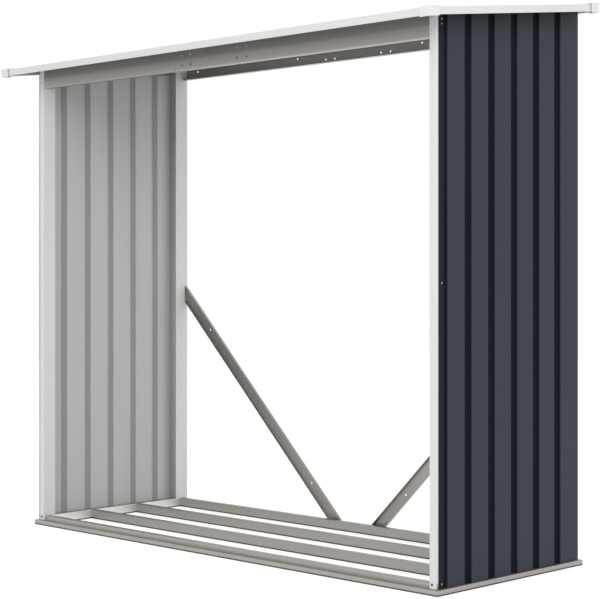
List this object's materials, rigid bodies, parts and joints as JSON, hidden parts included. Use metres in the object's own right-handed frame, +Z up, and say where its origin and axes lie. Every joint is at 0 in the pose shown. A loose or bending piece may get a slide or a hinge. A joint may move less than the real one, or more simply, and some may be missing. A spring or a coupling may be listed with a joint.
{
  "type": "log store",
  "caption": "Open metal log store: corrugated side walls, sloping roof, raised base frame and diagonal braces at the back.",
  "frame": {"origin": "on the ground, under the middle of the object's bounding box", "axes": "+X to the right as seen from the open front, +Y from the front to the braced back, +Z up"},
  "size_m": [1.809, 0.7078, 1.5418],
  "materials": {
    "galvanised_steel": "dull zinc",
    "white_coated_steel": "satin powder coat",
    "anthracite_coated_sheet": "satin coil coating",
    "white_moulded_plastic": "fine matt"
  },
  "bodies": {
    "root": {"base_rail_back": "galvanised_steel", "base_rail_front": "galvanised_steel", "base_rail_left": "galvanised_steel", "base_rail_right": "galvanised_steel", "beam_back": "galvanised_steel", "beam_front": "galvanised_steel", "brace_left": "galvanised_steel", "brace_right": "galvanised_steel", "floor_bar_1": "galvanised_steel", "floor_bar_2": "galvanised_steel", "post_back_left": "white_coated_steel", "post_back_right": "white_coated_steel", "post_front_left": "white_coated_steel", "post_front_right": "white_coated_steel", "roof_cap_back_left": "white_moulded_plastic", "roof_cap_back_right": "white_moulded_plastic", "roof_cap_front_left": "white_moulded_plastic", "roof_cap_front_right": "white_moulded_plastic", "roof_sheet_left": "anthracite_coated_sheet", "roof_sheet_middle": "anthracite_coated_sheet", "roof_sheet_right": "anthracite_coated_sheet", "roof_trim_back": "white_coated_steel", "roof_trim_front": "white_coated_steel", "roof_trim_left": "white_coated_steel", "roof_trim_right": "white_coated_steel", "side_rail_left": "galvanised_steel", "side_rail_right": "galvanised_steel", "wall_panel_left": "anthracite_coated_sheet", "wall_panel_right": "anthracite_coated_sheet"}
  },
  "joints": []
}
